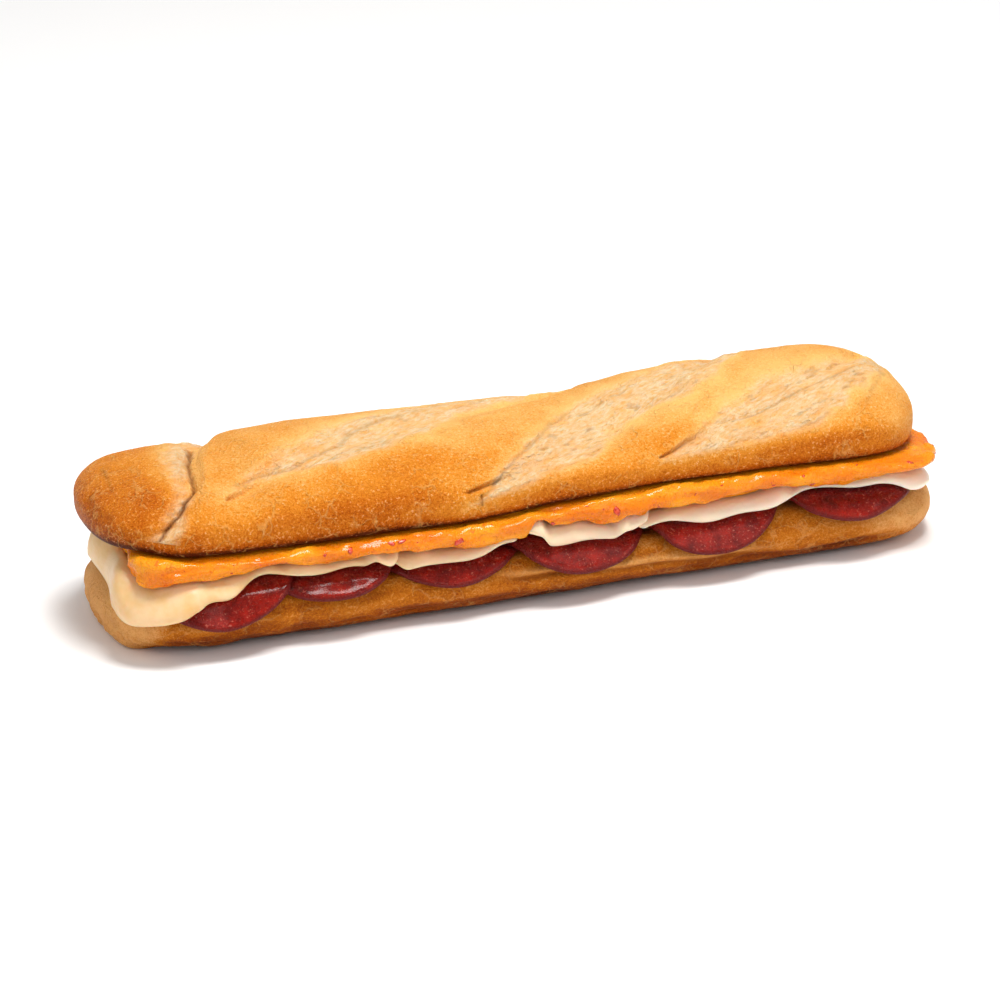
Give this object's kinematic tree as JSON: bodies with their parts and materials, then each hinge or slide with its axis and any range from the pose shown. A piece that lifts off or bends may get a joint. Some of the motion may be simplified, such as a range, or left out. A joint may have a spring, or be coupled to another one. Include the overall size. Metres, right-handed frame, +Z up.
{
  "type": "submarine sandwich",
  "caption": "Long crusty roll cut lengthwise and filled with overlapping salami slices, melted cheese and a thick chilli sauce.",
  "frame": {"origin": "on the flat underside, on the roll's middle line, 2.5 mm left of the middle of its overall length", "axes": "+X along the roll, +Y towards its back, +Z up; the front, with the sauce's widest bead, faces -Y"},
  "size_m": [0.2975, 0.0875, 0.0601],
  "materials": {
    "bread_bottom": "baked crust, matt, golden brown with pale floury scores",
    "bread_top": "baked crust, matt, golden brown with pale floury scores",
    "sauce": "glossy thick chilli sauce with red flecks",
    "cheese_1": "soft melted cheese with a low sheen",
    "cheese_2": "soft melted cheese with a low sheen",
    "cheese_3": "soft melted cheese with a low sheen",
    "cheese_4": "soft melted cheese with a low sheen",
    "salami_front_1": "moist cured sausage, dark red, marbled with fat",
    "salami_front_2": "moist cured sausage, dark red, marbled with fat",
    "salami_front_3": "moist cured sausage, dark red, marbled with fat",
    "salami_front_4": "moist cured sausage, dark red, marbled with fat",
    "salami_front_5": "moist cured sausage, dark red, marbled with fat",
    "salami_front_6": "moist cured sausage, dark red, marbled with fat",
    "salami_back_1": "moist cured sausage, dark red, marbled with fat",
    "salami_back_2": "moist cured sausage, dark red, marbled with fat",
    "salami_back_3": "moist cured sausage, dark red, marbled with fat",
    "salami_back_4": "moist cured sausage, dark red, marbled with fat",
    "salami_back_5": "moist cured sausage, dark red, marbled with fat",
    "salami_back_6": "moist cured sausage, dark red, marbled with fat"
  },
  "bodies": {
    "root": {"bread_bottom": "bread_bottom", "bread_top": "bread_top", "sauce": "sauce", "cheese_1": "cheese_1", "cheese_2": "cheese_2", "cheese_3": "cheese_3", "cheese_4": "cheese_4", "salami_front_1": "salami_front_1", "salami_front_2": "salami_front_2", "salami_front_3": "salami_front_3", "salami_front_4": "salami_front_4", "salami_front_5": "salami_front_5", "salami_front_6": "salami_front_6", "salami_back_1": "salami_back_1", "salami_back_2": "salami_back_2", "salami_back_3": "salami_back_3", "salami_back_4": "salami_back_4", "salami_back_5": "salami_back_5", "salami_back_6": "salami_back_6"}
  },
  "joints": []
}
